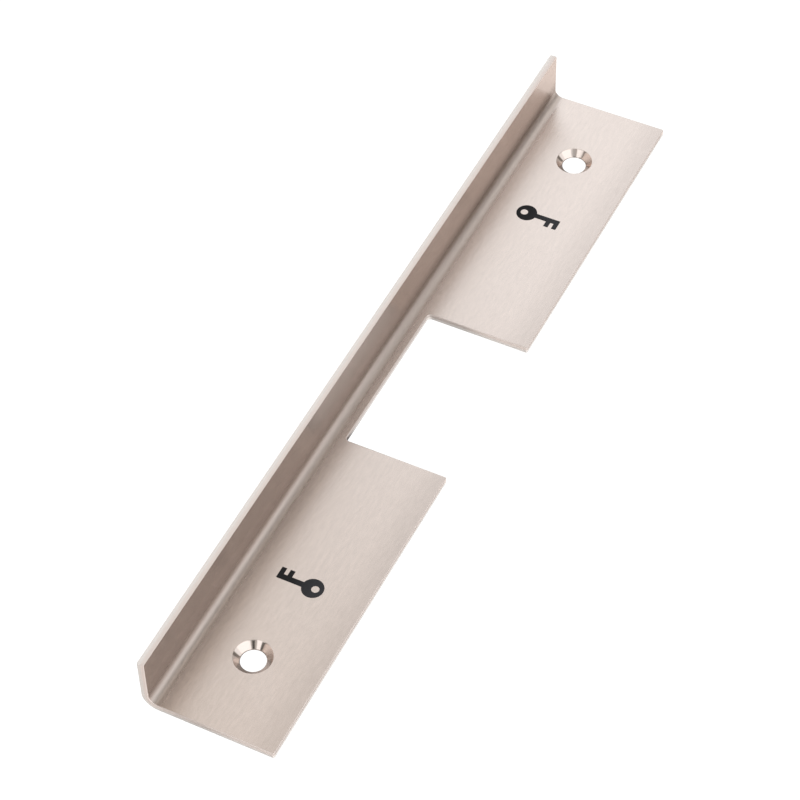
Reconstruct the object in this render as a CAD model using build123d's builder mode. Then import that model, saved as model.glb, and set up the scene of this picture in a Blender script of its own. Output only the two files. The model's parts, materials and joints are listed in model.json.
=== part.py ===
from build123d import *
import os

# Angled faceplate of an electric strike: one stainless sheet, folded once along its length, with
# an open notch for the latch, two countersunk screw holes and a mark printed near each end.
# Frame, in millimetres: the origin is the middle of the flange's back, X runs along the plate,
# Y across it towards the upstand, and Z up through the flange to its front face.

# The folded sheet
plate_length = 250.0
flange_width = 38.0  # from the free edge to the upstand's outer face
upstand_height = 18.0  # from the flange's back to the upstand's top edge
sheet_thickness = 2.0
bend_inside_radius = 2.5
blank_corner_radius = 0.5  # the four outer corners of the blank

# The latch notch, open at the flange's free edge and centred along the plate
notch_length = 52.0
notch_to_upstand_face = 7.0  # metal left between the notch and the upstand's outer face
notch_corner_radius = 1.2  # the two corners inside the notch
notch_mouth_radius = 0.4  # the two corners where the notch meets the free edge

# The screw holes, for 90 degree countersunk heads
hole_pitch = 202.0
hole_from_upstand_face = 19.0
hole_diameter = 7.0
countersink_diameter = 10.8
countersink_angle = 90.0

# The printed marks: a key, drawn with its bow to the left and its bit to the right
mark_spacing = 150.0
mark_from_upstand_face = 19.0
ink_thickness = 0.05
key_length = 13.6
bow_diameter = 6.2
bow_eye_diameter = 2.2
stem_width = 1.7
bit_depth = 2.9  # how far the teeth reach below the middle of the stem
tooth_width = 1.4
tooth_gap = 1.1

# Worked out from the sizes above
upstand_face_y = flange_width / 2
free_edge_y = -flange_width / 2
notch_bottom_y = upstand_face_y - notch_to_upstand_face
bend_outside_radius = bend_inside_radius + sheet_thickness
hole_y = upstand_face_y - hole_from_upstand_face
mark_y = upstand_face_y - mark_from_upstand_face
outside_corner = (upstand_face_y, 0)
inside_corner = (upstand_face_y - sheet_thickness, sheet_thickness)

os.makedirs("parts", exist_ok=True)

with BuildPart() as faceplate:
    # The folded section, swept straight along the plate
    with BuildSketch(Plane.YZ) as section:
        with BuildLine():
            Polyline(
                (free_edge_y, 0),
                outside_corner,
                (upstand_face_y, upstand_height),
                (upstand_face_y - sheet_thickness, upstand_height),
                inside_corner,
                (free_edge_y, sheet_thickness),
                close=True,
            )
        make_face()
        fillet(section.vertices().sort_by_distance(outside_corner)[0], bend_outside_radius)
        fillet(section.vertices().sort_by_distance(inside_corner)[0], bend_inside_radius)
    extrude(amount=plate_length / 2, both=True)

    # The latch notch
    with BuildSketch(Plane.XY):
        with Locations((0, free_edge_y)):
            Rectangle(notch_length, 2 * (notch_bottom_y - free_edge_y))
    extrude(amount=sheet_thickness, mode=Mode.SUBTRACT)
    corners_by_y = faceplate.edges().filter_by(Axis.Z).group_by(Axis.Y)
    notch_corners = corners_by_y[1]
    free_edge_corners = corners_by_y[0].sort_by(Axis.X)
    fillet(notch_corners, notch_corner_radius)
    fillet(free_edge_corners[1:3], notch_mouth_radius)

    # The outer corners of the blank
    flange_corners = faceplate.edges().filter_by(Axis.Z).group_by(Axis.Y)[0].sort_by(Axis.X)
    upstand_corners = faceplate.edges().filter_by(Axis.Y).group_by(Axis.Z)[-1]
    fillet(flange_corners[::3] + upstand_corners, blank_corner_radius)

    # The screw holes
    with Locations((0, hole_y, sheet_thickness)):
        with GridLocations(hole_pitch, 0, 2, 1):
            CounterSinkHole(
                radius=hole_diameter / 2,
                counter_sink_radius=countersink_diameter / 2,
                depth=sheet_thickness,
                counter_sink_angle=countersink_angle,
            )

faceplate.part.label = "faceplate"
export_step(faceplate.part, "parts/faceplate.step")

# Each mark has its feet towards the middle of the plate, so the two are half a turn apart
for side, toward_end in (("left", -1), ("right", 1)):
    mark_plane = Plane(
        origin=(toward_end * mark_spacing / 2, mark_y, sheet_thickness),
        x_dir=(0, -toward_end, 0),
        z_dir=(0, 0, 1),
    )
    bow_x = (bow_diameter - key_length) / 2
    tip_x = key_length / 2
    with BuildPart() as printed_mark:
        with BuildSketch(mark_plane):
            with Locations((bow_x, 0)):
                Circle(bow_diameter / 2)
            with Locations((bow_x, -stem_width / 2)):
                Rectangle(tip_x - bow_x, stem_width, align=(Align.MIN, Align.MIN))
            for tooth in range(2):
                with Locations((tip_x - tooth * (tooth_width + tooth_gap), 0)):
                    Rectangle(tooth_width, bit_depth, align=(Align.MAX, Align.MAX))
            with Locations((bow_x - bow_diameter / 8, 0)):
                Circle(bow_eye_diameter / 2, mode=Mode.SUBTRACT)
        extrude(amount=ink_thickness)
    printed_mark.part.label = f"printed_mark_{side}"
    export_step(printed_mark.part, f"parts/printed_mark_{side}.step")
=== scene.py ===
import json
import math

import bmesh
import bpy
from mathutils import Matrix, Vector


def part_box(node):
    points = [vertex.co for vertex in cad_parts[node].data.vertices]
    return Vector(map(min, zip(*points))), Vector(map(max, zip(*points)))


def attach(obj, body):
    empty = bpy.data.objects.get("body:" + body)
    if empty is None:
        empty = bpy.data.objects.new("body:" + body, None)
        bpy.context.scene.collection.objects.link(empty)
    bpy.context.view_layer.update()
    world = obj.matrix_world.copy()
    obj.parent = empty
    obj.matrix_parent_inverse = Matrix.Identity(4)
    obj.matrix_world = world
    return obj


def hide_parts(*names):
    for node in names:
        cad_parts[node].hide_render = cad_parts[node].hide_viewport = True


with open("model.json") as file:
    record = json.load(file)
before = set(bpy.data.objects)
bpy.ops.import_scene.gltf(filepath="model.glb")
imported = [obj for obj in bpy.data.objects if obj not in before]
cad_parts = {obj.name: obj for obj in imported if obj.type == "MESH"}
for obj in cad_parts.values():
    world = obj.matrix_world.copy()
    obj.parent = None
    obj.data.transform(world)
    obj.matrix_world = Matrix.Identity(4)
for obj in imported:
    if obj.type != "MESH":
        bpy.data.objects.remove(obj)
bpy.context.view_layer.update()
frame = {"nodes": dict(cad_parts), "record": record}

MM = 0.001

# ---------------------------------------------------------------------------------------
# Sizes, in metres. The box and the holes come from the frame; the rest are the CAD's own.
# ---------------------------------------------------------------------------------------
plate_low, plate_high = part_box("faceplate")
screw_holes = next(m for m in frame["record"]["mounts"] if m["name"] == "screw_holes")

LENGTH = plate_high.x - plate_low.x
UPSTAND_Y = plate_high.y  # the upstand's outer face
FREE_EDGE_Y = plate_low.y
HEIGHT = plate_high.z - plate_low.z
THICKNESS = 2.0 * MM
BEND_INSIDE_RADIUS = 2.5 * MM
BEND_OUTSIDE_RADIUS = BEND_INSIDE_RADIUS + THICKNESS
BLANK_CORNER_RADIUS = 0.5 * MM

NOTCH_LENGTH = 52.0 * MM
NOTCH_TO_UPSTAND = 7.0 * MM
NOTCH_CORNER_RADIUS = 1.2 * MM
NOTCH_MOUTH_RADIUS = 0.4 * MM

HOLE_PITCH = screw_holes["dims"]["spacing_x_mm"] * MM
HOLE_RADIUS = screw_holes["dims"]["hole_r_mm"] * MM
HOLE_LAND = 0.1 * MM  # the straight wall left under the countersink
COUNTERSINK_RADIUS = 5.4 * MM

# How the sharp edges of the metal are broken
EDGE_BREAK = 0.2 * MM
RIM_BREAK = 0.06 * MM
LAND_BREAK = 0.03 * MM

# The flat blank before folding: x along it, s across it from the free edge, h up from its back
BEND_LENGTH = math.pi / 2 * (BEND_INSIDE_RADIUS + THICKNESS / 2)
BEND_START = UPSTAND_Y - FREE_EDGE_Y - BEND_OUTSIDE_RADIUS
BEND_END = BEND_START + BEND_LENGTH
BLANK_WIDTH = BEND_END + HEIGHT - BEND_OUTSIDE_RADIUS
NOTCH_DEPTH = UPSTAND_Y - FREE_EDGE_Y - NOTCH_TO_UPSTAND
HOLE_S = screw_holes["pos_m"][1] - FREE_EDGE_Y

# How finely curves are divided
CORNER_STEPS = 6
EDGE_STEPS = 4
BEND_STEPS = 18
HOLE_STEPS = 120
CONE_STEPS = 8

BRUSHED, CUT, TURNED = range(3)  # material indices of the faceplate


# ---------------------------------------------------------------------------------------
# The faceplate's mesh: a flat blank with broken edges, which is then folded
# ---------------------------------------------------------------------------------------
def corner_points(corner, heading, turn, radius, inset):
    """One rounded corner of the outline, pulled inset into the metal on the left of heading.

    turn is 1 where the outline turns left, round the metal, and -1 where it turns right.
    """
    corner, heading = Vector(corner), Vector(heading)
    left = Vector((-heading.y, heading.x))
    centre = corner + radius * (turn * left - heading)
    reach = radius - turn * inset
    angles = [math.pi / 2 * step / CORNER_STEPS for step in range(CORNER_STEPS + 1)]
    return [centre + reach * (math.sin(a) * heading - turn * math.cos(a) * left) for a in angles]


def blank_outline(inset):
    """The blank's outline, anticlockwise and pulled inset into the metal, in four stretches:
    up across the bend, round the upstand, down across the bend, and round the flange."""
    east, north, west, south = (1, 0), (0, 1), (-1, 0), (0, -1)
    end, notch = LENGTH / 2, NOTCH_LENGTH / 2
    stations = [BEND_START + BEND_LENGTH * step / BEND_STEPS for step in range(BEND_STEPS + 1)]
    upstand_corners = [
        ((end, BLANK_WIDTH), north, 1, BLANK_CORNER_RADIUS),
        ((-end, BLANK_WIDTH), west, 1, BLANK_CORNER_RADIUS),
    ]
    flange_corners = [
        ((-end, 0), south, 1, BLANK_CORNER_RADIUS),
        ((-notch, 0), east, 1, NOTCH_MOUTH_RADIUS),
        ((-notch, NOTCH_DEPTH), north, -1, NOTCH_CORNER_RADIUS),
        ((notch, NOTCH_DEPTH), east, -1, NOTCH_CORNER_RADIUS),
        ((notch, 0), south, 1, NOTCH_MOUTH_RADIUS),
        ((end, 0), east, 1, BLANK_CORNER_RADIUS),
    ]
    return (
        [Vector((end - inset, s)) for s in stations],
        [p for corner in upstand_corners for p in corner_points(*corner, inset)],
        [Vector((inset - end, s)) for s in reversed(stations)],
        [p for corner in flange_corners for p in corner_points(*corner, inset)],
    )


def hole_outline(x, radius):
    """A hole's circle in the blank, clockwise, so that the metal is on its left."""
    turns = [-2 * math.pi * step / HOLE_STEPS for step in range(HOLE_STEPS)]
    return [Vector((x + radius * math.cos(a), HOLE_S + radius * math.sin(a))) for a in turns]


def edge_profile():
    """(inset, height) of the broken edge, from the blank's back round to its front."""
    angles = [math.pi / 2 * step / EDGE_STEPS for step in range(EDGE_STEPS + 1)]
    back = [(EDGE_BREAK * (1 - math.sin(a)), EDGE_BREAK * (1 - math.cos(a))) for a in angles]
    return back + [(inset, THICKNESS - height) for inset, height in reversed(back)]


def hole_profile():
    """(radius, height) of a screw hole's wall, from the blank's back to its front."""
    cone = []
    for step in range(CONE_STEPS + 1):
        share = step / CONE_STEPS
        top = COUNTERSINK_RADIUS - RIM_BREAK
        radius = HOLE_RADIUS + share * (top - HOLE_RADIUS)
        height = HOLE_LAND + share * (THICKNESS - RIM_BREAK - HOLE_LAND)
        cone.append((radius, height))
    back = [(HOLE_RADIUS + LAND_BREAK, 0.0), (HOLE_RADIUS, LAND_BREAK)]
    return back + cone + [(COUNTERSINK_RADIUS + RIM_BREAK / 2, THICKNESS)]


def add_ring(bm, points, height):
    return [bm.verts.new((p.x, p.y, height)) for p in points]


def add_wall(bm, grain, rings, material_index):
    """Bands of quads between rings of vertices.

    The grain's U runs round the rings, and its V from ring to ring.
    """
    count = len(rings[0])
    round_it = [0.0]
    for k in range(count):
        round_it.append(round_it[-1] + (rings[0][(k + 1) % count].co - rings[0][k].co).length)
    up_it = 0.0
    for lower, upper in zip(rings, rings[1:]):
        rise = (upper[0].co - lower[0].co).length
        for k in range(count):
            n = (k + 1) % count
            face = bm.faces.new((lower[k], lower[n], upper[n], upper[k]))
            face.material_index = material_index
            corners = (
                (round_it[k], up_it),
                (round_it[k + 1], up_it),
                (round_it[k + 1], up_it + rise),
                (round_it[k], up_it + rise),
            )
            for loop, corner in zip(face.loops, corners):
                loop[grain].uv = corner
        up_it += rise


def add_flat(bm, grain, stretches, holes, facing):
    """The blank's front (facing 1) or back (facing -1), between its outline and its holes."""
    bend_right, upstand, bend_left, flange = stretches
    bend_left = bend_left[::-1]
    faces = [bm.faces.new([bend_right[-1], *upstand, bend_left[-1]][::facing])]
    for step in range(BEND_STEPS):
        band = (bend_left[step], bend_right[step], bend_right[step + 1], bend_left[step + 1])
        faces.append(bm.faces.new(band[::facing]))
    loop = [bend_left[0], *flange, bend_right[0]]
    edges = []
    for ring in (loop, *holes):
        for k, vertex in enumerate(ring):
            pair = (vertex, ring[(k + 1) % len(ring)])
            edges.append(bm.edges.get(pair) or bm.edges.new(pair))
    filled = bmesh.ops.triangle_fill(bm, edges=edges, use_beauty=True, normal=(0, 0, facing))
    faces += [g for g in filled["geom"] if isinstance(g, bmesh.types.BMFace)]
    for face in faces:
        face.material_index = BRUSHED
        for corner in face.loops:
            corner[grain].uv = corner.vert.co.xy


def folded(point):
    """Where a point (x, s, h) of the flat blank lies once the upstand is folded up."""
    x, s, h = point
    centre_y, centre_z = UPSTAND_Y - BEND_OUTSIDE_RADIUS, plate_low.z + BEND_OUTSIDE_RADIUS
    if s <= BEND_START:
        return Vector((x, FREE_EDGE_Y + s, plate_low.z + h))
    if s >= BEND_END:
        return Vector((x, UPSTAND_Y - h, centre_z + s - BEND_END))
    angle = math.pi / 2 * (s - BEND_START) / BEND_LENGTH
    radius = BEND_OUTSIDE_RADIUS - h
    return Vector((x, centre_y + radius * math.sin(angle), centre_z - radius * math.cos(angle)))


def make_faceplate(materials):
    """The folded sheet, with its notch, its countersunk holes and its broken edges."""
    bm = bmesh.new()
    grain = bm.loops.layers.uv.new("grain")
    outlines = []
    for inset, height in edge_profile():
        outlines.append([add_ring(bm, stretch, height) for stretch in blank_outline(inset)])
    add_wall(bm, grain, [sum(stretches, []) for stretches in outlines], CUT)
    hole_walls = []
    for x in (-HOLE_PITCH / 2, HOLE_PITCH / 2):
        rings = [add_ring(bm, hole_outline(x, r), height) for r, height in hole_profile()]
        add_wall(bm, grain, rings, TURNED)
        hole_walls.append(rings)
    add_flat(bm, grain, outlines[0], [rings[0] for rings in hole_walls], -1)
    add_flat(bm, grain, outlines[-1], [rings[-1] for rings in hole_walls], 1)
    for vertex in bm.verts:
        vertex.co = folded(vertex.co)
    for face in bm.faces:
        face.smooth = True
    bmesh.ops.recalc_face_normals(bm, faces=bm.faces)
    mesh = bpy.data.meshes.new("folded_faceplate")
    bm.to_mesh(mesh)
    bm.free()
    for material in materials:
        mesh.materials.append(material)
    piece = bpy.data.objects.new("folded_faceplate", mesh)
    bpy.context.scene.collection.objects.link(piece)
    normals = piece.modifiers.new("flat_faces_stay_flat", "WEIGHTED_NORMAL")
    normals.weight = 100
    return piece


# ---------------------------------------------------------------------------------------
# Materials
# ---------------------------------------------------------------------------------------
STEEL_COLOUR = (0.67, 0.593, 0.549)
GRAZING_TINT = (0.85, 0.78, 0.75, 1)
SMOOTH_CUT_COLOUR = (0.47, 0.419, 0.393)
TORN_CUT_COLOUR = (0.404, 0.381, 0.364)
INK_COLOUR = (0.010, 0.010, 0.011)

# How smooth each metal is, from 0 for a mirror, and how strongly its scratches stretch highlights
BRUSHED_ROUGHNESS, BRUSHED_ANISOTROPY = 0.245, 0.88
CUT_ROUGHNESS, CUT_ANISOTROPY = 0.36, 0.3
TURNED_ROUGHNESS, TURNED_ANISOTROPY = 0.13, 0.85

# Handling marks and painted shade, as distances across the blank
HANDLED_WIDTH = 10 * MM  # the band along the free edge that handling has darkened
FOOT_SHADE_S = BEND_END + 0.8 * MM  # the middle of a band of painted shade at the upstand's foot
FOOT_SHADE_REACH = 4 * MM

# The sheared edges, measured round them from the blank's back
TORN_CUT_TO = 1.05 * MM
SMOOTH_CUT_FROM = 1.25 * MM
CUT_RAGGEDNESS = 0.5 * MM  # how much the line between the two wanders


def new_material(name):
    material = bpy.data.materials.new(name)
    material.use_nodes = True
    tree = material.node_tree
    return material, tree, tree.nodes["Principled BSDF"]


def put(socket, value):
    """Gives a node's input either a fixed value or another node's output."""
    if isinstance(value, bpy.types.NodeSocket):
        socket.id_data.links.new(value, socket)
    else:
        socket.default_value = value


def calculate(tree, operation, *values):
    node = tree.nodes.new("ShaderNodeMath")
    node.operation = operation
    for socket, value in zip(node.inputs, values):
        put(socket, value)
    return node.outputs[0]


def ramp(tree, value, low, high):
    """0 at low, 1 at high and smooth between them."""
    node = tree.nodes.new("ShaderNodeMapRange")
    node.interpolation_type = "SMOOTHSTEP"
    put(node.inputs["Value"], value)
    node.inputs["From Min"].default_value = low
    node.inputs["From Max"].default_value = high
    return node.outputs["Result"]


def grain_map(tree):
    """The metal's own flat coordinates, in metres: along its grain, and across it."""
    node = tree.nodes.new("ShaderNodeUVMap")
    node.uv_map = "grain"
    return node.outputs["UV"]


def split(tree, vector, axis):
    node = tree.nodes.new("ShaderNodeSeparateXYZ")
    put(node.inputs[0], vector)
    return node.outputs[axis]


def blend(tree, share, first, second):
    """The first colour where share is 0, the second where it is 1."""
    node = tree.nodes.new("ShaderNodeMix")
    node.data_type = "RGBA"
    put(node.inputs["Factor"], share)
    for socket, colour in zip([s for s in node.inputs if s.type == "RGBA"], (first, second)):
        put(socket, colour)
    return next(s for s in node.outputs if s.type == "RGBA")


def noise(tree, vector, along, across, detail=2.0, roughness=0.5):
    """Noise from -0.5 to 0.5, whose patches are so long and so wide in metres."""
    mapping = tree.nodes.new("ShaderNodeMapping")
    put(mapping.inputs["Vector"], vector)
    mapping.inputs["Scale"].default_value = (1 / along, 1 / across, 1 / across)
    node = tree.nodes.new("ShaderNodeTexNoise")
    put(node.inputs["Vector"], mapping.outputs[0])
    node.inputs["Scale"].default_value = 1.0
    node.inputs["Detail"].default_value = detail
    node.inputs["Roughness"].default_value = roughness
    return calculate(tree, "SUBTRACT", node.outputs[0], 0.5)


def sum_of(tree, start, *terms):
    """start plus each (value, amount) term's value times its amount."""
    total = start
    for value, amount in terms:
        total = calculate(tree, "MULTIPLY_ADD", value, amount, total)
    return total


def shade(tree, colour, brightness):
    node = tree.nodes.new("ShaderNodeVectorMath")
    node.operation = "SCALE"
    node.inputs[0].default_value = colour
    put(node.inputs["Scale"], brightness)
    return node.outputs[0]


def bump(tree, shader, height):
    """Relief, of a height in metres."""
    node = tree.nodes.new("ShaderNodeBump")
    node.inputs["Distance"].default_value = 1.0
    put(node.inputs["Height"], height)
    put(shader.inputs["Normal"], node.outputs["Normal"])


def metal(name, anisotropy):
    """Bare stainless, whose fine scratches run along its grain's U. Its colour is added later."""
    material, tree, shader = new_material(name)
    shader.inputs["Metallic"].default_value = 1.0
    shader.inputs["Specular Tint"].default_value = GRAZING_TINT
    shader.inputs["Anisotropic"].default_value = anisotropy
    shader.inputs["Anisotropic Rotation"].default_value = 0.25
    tangent = tree.nodes.new("ShaderNodeTangent")
    tangent.direction_type = "UV_MAP"
    tangent.uv_map = "grain"
    put(shader.inputs["Tangent"], tangent.outputs["Tangent"])
    return material, tree, shader


def brushed_steel(name):
    """The sheet's satin face: long fine scratches over broad soft patches.

    It is duller across the fold, where bending roughened it, and darker along the free edge,
    where handling marked it. Across the bend and at the upstand's foot its colour is painted
    darker: painted shade in the fold's inside corner.
    """
    material, tree, shader = metal(name, BRUSHED_ANISOTROPY)
    place = grain_map(tree)
    fine = noise(tree, place, 7 * MM, 0.14 * MM, 3.0, 0.6)
    dashes = noise(tree, place, 3.2 * MM, 1.0 * MM, 3.0, 0.65)
    streaks = noise(tree, place, 40 * MM, 0.8 * MM, 3.0, 0.55)
    patches = noise(tree, place, 30 * MM, 15 * MM, 2.0)
    tone = sum_of(tree, 1.0, (fine, 0.12), (dashes, 0.19), (streaks, 0.04), (patches, 0.08))
    across = split(tree, place, "Y")
    from_bend = calculate(tree, "SUBTRACT", across, (BEND_START + BEND_END) / 2)
    from_bend = calculate(tree, "ABSOLUTE", from_bend)
    # Across the bend: rougher, and painted darker as painted shade in the fold's inside corner.
    stretched_and_bend_shade = ramp(tree, from_bend, 0.9 * BEND_LENGTH, 0.1 * BEND_LENGTH)
    handled = ramp(tree, across, HANDLED_WIDTH, 0.0)
    # A dark band at the upstand's foot: painted shade in the fold's inside corner.
    from_foot_shade = calculate(tree, "SUBTRACT", across, FOOT_SHADE_S)
    from_foot_shade = calculate(tree, "ABSOLUTE", from_foot_shade)
    foot_shade = ramp(tree, from_foot_shade, FOOT_SHADE_REACH, 0.0)
    # The bend and upstand-foot terms here are painted shade; the free-edge term is handling wear.
    tone = sum_of(tree, tone, (stretched_and_bend_shade, -0.08), (handled, -0.1), (foot_shade, -0.25))
    put(shader.inputs["Base Color"], shade(tree, STEEL_COLOUR, tone))
    dull = sum_of(tree, BRUSHED_ROUGHNESS, (dashes, 0.05), (patches, 0.05), (stretched_and_bend_shade, 0.08))
    put(shader.inputs["Roughness"], dull)
    bump(tree, shader, sum_of(tree, 0.0, (fine, 1.2e-6), (dashes, 2.5e-6)))
    return material


def cut_steel(name):
    """The sheared edges.

    The shear leaves the front half of the cut smooth, with marks straight through the sheet. The
    back half tears, and comes out grey and gritty.
    """
    material, tree, shader = metal(name, CUT_ANISOTROPY)
    place = grain_map(tree)
    marks = noise(tree, place, 0.3 * MM, 6 * MM, 3.0, 0.6)
    grit = noise(tree, place, 0.4 * MM, 0.3 * MM, 3.0, 0.6)
    ragged = noise(tree, place, 2.4 * MM, 4 * MM, 2.0)
    through = calculate(tree, "MULTIPLY_ADD", ragged, CUT_RAGGEDNESS, split(tree, place, "Y"))
    torn = ramp(tree, through, SMOOTH_CUT_FROM, TORN_CUT_TO)
    tone = sum_of(tree, 1.0, (marks, 0.1), (grit, 0.06))
    smooth_colour = shade(tree, SMOOTH_CUT_COLOUR, tone)
    torn_colour = shade(tree, TORN_CUT_COLOUR, tone)
    put(shader.inputs["Base Color"], blend(tree, torn, smooth_colour, torn_colour))
    put(shader.inputs["Metallic"], sum_of(tree, 0.78, (torn, -0.2)))
    put(shader.inputs["Roughness"], sum_of(tree, CUT_ROUGHNESS, (torn, 0.14), (grit, 0.1)))
    torn_grit = calculate(tree, "MULTIPLY", torn, grit)
    bump(tree, shader, sum_of(tree, 0.0, (marks, 1.5e-6), (torn_grit, 3e-6)))
    return material


def turned_steel(name):
    """The countersinks: the tool's fine rings round a bright cone."""
    material, tree, shader = metal(name, TURNED_ANISOTROPY)
    place = grain_map(tree)
    rings = noise(tree, place, 9 * MM, 0.12 * MM, 2.0, 0.6)
    smears = noise(tree, place, 1.3 * MM, 0.5 * MM, 2.0)
    tone = sum_of(tree, 1.0, (rings, 0.1), (smears, 0.06))
    put(shader.inputs["Base Color"], shade(tree, STEEL_COLOUR, tone))
    put(shader.inputs["Roughness"], sum_of(tree, TURNED_ROUGHNESS, (rings, 0.06)))
    bump(tree, shader, sum_of(tree, 0.0, (rings, 2e-6), (smears, 1.5e-6)))
    return material


def printed_ink(name):
    """Matte black ink, a little uneven where it lies on the scratches."""
    material, tree, shader = new_material(name)
    coordinates = tree.nodes.new("ShaderNodeTexCoord")
    place = coordinates.outputs["Object"]
    grit = noise(tree, place, 0.3 * MM, 0.3 * MM, 3.0, 0.6)
    scratches = noise(tree, place, 14 * MM, 0.2 * MM, 2.0, 0.6)
    tone = sum_of(tree, 1.0, (grit, 0.5), (scratches, 0.4))
    put(shader.inputs["Base Color"], shade(tree, INK_COLOUR, tone))
    shader.inputs["Specular IOR Level"].default_value = 0.12
    put(shader.inputs["Roughness"], sum_of(tree, 0.6, (grit, 0.2)))
    bump(tree, shader, sum_of(tree, 0.0, (grit, 4e-6), (scratches, 2e-6)))
    return material


faceplate = make_faceplate(
    [
        brushed_steel("brushed_stainless"),
        cut_steel("cut_edge_stainless"),
        turned_steel("turned_stainless"),
    ]
)
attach(faceplate, "root")
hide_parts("faceplate")

black_ink = printed_ink("black_ink")
for side in ("left", "right"):
    mark = frame["nodes"][f"printed_mark_{side}"]
    mark.data.materials.clear()
    mark.data.materials.append(black_ink)


# ---------------------------------------------------------------------------------------
# Studio: floor, light and camera
# ---------------------------------------------------------------------------------------
FLOOR_SIDE = 12.0
FLOOR_GAP = 0.02 * MM  # between the faceplate's back and the white sheet, and between the sheets
PAPER_COLOUR = (0.36, 0.345, 0.335, 1)
PAPER_ROUGHNESS = 0.9
WHITE_GLOW = 1.1  # over 1, so that no shadow shows on it


def make_sheet(name, drop):
    """A square sheet that lies drop below the faceplate's back, and its shader."""
    mesh = bpy.data.meshes.new(name)
    half, z = FLOOR_SIDE / 2, plate_low.z - drop
    corners = [(-half, -half, z), (half, -half, z), (half, half, z), (-half, half, z)]
    mesh.from_pydata(corners, [], [(0, 1, 2, 3)])
    sheet = bpy.data.objects.new(name, mesh)
    bpy.context.scene.collection.objects.link(sheet)
    material, _, shader = new_material(name)
    mesh.materials.append(material)
    return sheet, shader


def make_floor():
    """Grey paper that the metal mirrors, and over it the even white that the camera sees."""
    paper, shader = make_sheet("floor_paper", 2 * FLOOR_GAP)
    shader.inputs["Base Color"].default_value = PAPER_COLOUR
    shader.inputs["Roughness"].default_value = PAPER_ROUGHNESS
    paper.visible_camera = False
    white, shader = make_sheet("floor_white", FLOOR_GAP)
    shader.inputs["Base Color"].default_value = (0, 0, 0, 1)
    shader.inputs["Specular IOR Level"].default_value = 0.0
    shader.inputs["Emission Color"].default_value = (1, 1, 1, 1)
    shader.inputs["Emission Strength"].default_value = WHITE_GLOW
    white.visible_diffuse = False
    white.visible_glossy = False
    white.visible_transmission = False
    white.visible_shadow = False


def make_light(name, strength, spread, azimuth, elevation):
    """A distant soft light, spread degrees wide, that makes no highlight in the metal."""
    data = bpy.data.lights.new(name, "SUN")
    data.energy = strength
    data.angle = math.radians(spread)
    light = bpy.data.objects.new(name, data)
    bpy.context.scene.collection.objects.link(light)
    light.rotation_euler = (0, math.radians(90 - elevation), math.radians(azimuth))
    light.visible_glossy = False


make_floor()
# One behind the upstand brightens the paper. One low in front, to the left, lights the cut edges.
# Each has its strength, its spread, and the azimuth and elevation it shines from, in degrees.
make_light("key_light", 9.0, 12, 84, 42)
make_light("edge_light", 12.0, 10, -114, 7)

# The room seen from the plate: its own light, then cards in front of it, each (azimuth,
# elevation, width, height, soft edge, brightness, warmth), with azimuth anticlockwise from +X
# and the first five in degrees
ROOM_LIGHT = (0.6, 0.04)
CARDS = {
    "ceiling": (0, 90, 360, 40, 26, 0.92, 0.02),
    "overhead_softbox": (38, 33.5, 46, 38, 14, 1.44, -0.02),
    "softbox_end": (7, 47, 16, 9, 6, 1.4, -0.03),
    "side_softbox": (88, 33, 54, 36, 22, 1.1, -0.02),
    "far_fill": (-24, 38, 30, 20, 12, 1.18, 0.02),
    "high_fill": (8, 68, 60, 20, 12, 1.0, 0.1),
    "high_shade": (-32, 54, 34, 12, 8, 0.1, 0.0),
    "white_card_right": (-105, 32, 74, 60, 6, 1.6, 0.0),
    "white_card_low": (-61, 20, 18, 32, 8, 1.28, 0.0),
    "white_card_left": (171, 34, 26, 46, 6, 1.5, 0.0),
    "white_card_high": (152, 44, 20, 14, 6, 1.5, 0.0),
    "camera": (-157, 33, 14, 20, 5, 0.05, 0.1),
    "behind_camera": (-147, 47, 32, 10, 8, 0.7, 0.0),
    "flag_right": (-43, 8, 14, 32, 6, 0.22, 0.08),
    "flag_left": (147, 24, 26, 18, 8, 0.08, 0.1),
    "flag_high": (131, 37, 10, 14, 4, 0.15, 0.1),
}


def tinted(brightness, warmth):
    return (brightness * (1 + warmth), brightness, brightness * (1 - warmth), 1)


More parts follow.
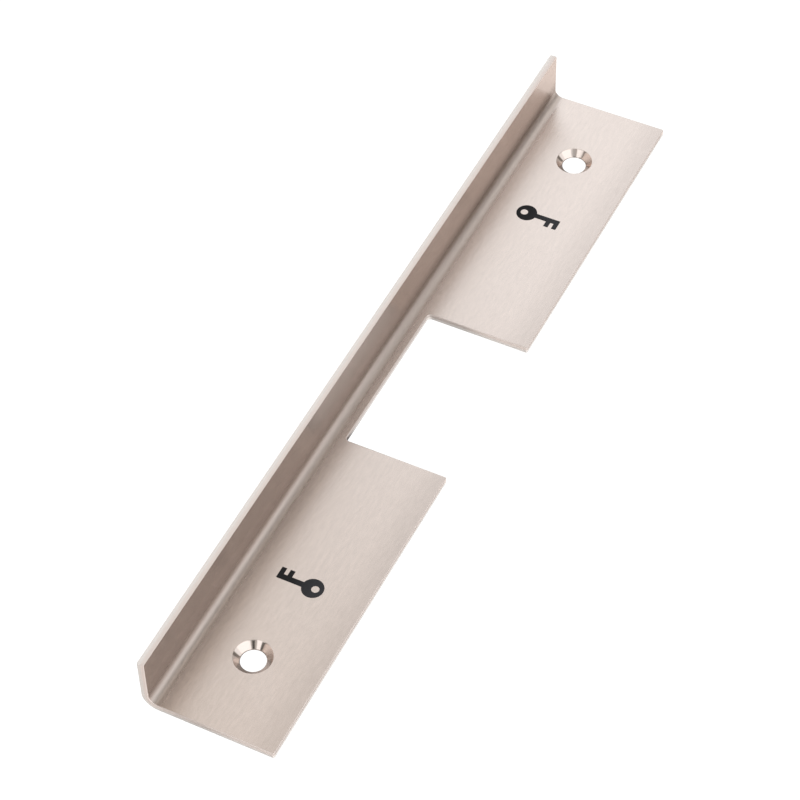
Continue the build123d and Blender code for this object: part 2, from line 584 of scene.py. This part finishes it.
def make_world():
    world = bpy.data.worlds.new("studio")
    world.use_nodes = True
    bpy.context.scene.world = world
    tree = world.node_tree
    direction = tree.nodes.new("ShaderNodeSeparateXYZ")
    put(direction.inputs[0], tree.nodes.new("ShaderNodeTexCoord").outputs["Generated"])
    azimuth = calculate(tree, "ARCTAN2", direction.outputs["Y"], direction.outputs["X"])
    elevation = calculate(tree, "ARCSINE", direction.outputs["Z"])
    light = tinted(*ROOM_LIGHT)
    for card in CARDS.values():
        card_azimuth, card_elevation, width, height, edge = [math.radians(a) for a in card[:5]]
        turn = calculate(tree, "SUBTRACT", azimuth, card_azimuth)
        turn = calculate(tree, "WRAP", turn, math.pi, -math.pi)
        rise = calculate(tree, "SUBTRACT", elevation, card_elevation)
        shares = []
        for offset, size in ((turn, width), (rise, height)):
            distance = calculate(tree, "ABSOLUTE", offset)
            shares.append(ramp(tree, distance, (size + edge) / 2, (size - edge) / 2))
        light = blend(tree, calculate(tree, "MULTIPLY", *shares), light, tinted(*card[5:]))
    put(tree.nodes["Background"].inputs["Color"], light)


make_world()

# The camera looks down the plate from its left end: where it aims and from where
AIM = Vector((-0.0120, 0.0020, 0.0090))
VIEW_AZIMUTH = math.radians(62.18)  # of the line of sight, from +Y towards +X
VIEW_ELEVATION = math.radians(49.13)
VIEW_ROLL = math.radians(-1.71)  # about the line of sight
VIEW_DISTANCE = 0.7366
SENSOR_WIDTH = 36.0
LENS = 120.7


def make_camera():
    data = bpy.data.cameras.new("camera")
    data.sensor_width = SENSOR_WIDTH
    data.lens = LENS
    data.clip_start = 0.01
    data.clip_end = 100.0
    camera = bpy.data.objects.new("camera", data)
    bpy.context.scene.collection.objects.link(camera)
    sight = Vector(
        (
            math.cos(VIEW_ELEVATION) * math.sin(VIEW_AZIMUTH),
            math.cos(VIEW_ELEVATION) * math.cos(VIEW_AZIMUTH),
            -math.sin(VIEW_ELEVATION),
        )
    )
    camera.location = AIM - VIEW_DISTANCE * sight
    upright = sight.to_track_quat("-Z", "Y").to_matrix().to_4x4()
    camera.rotation_euler = (upright @ Matrix.Rotation(VIEW_ROLL, 4, "Z")).to_euler()
    bpy.context.scene.camera = camera


make_camera()
bpy.context.scene.view_settings.view_transform = "Standard"
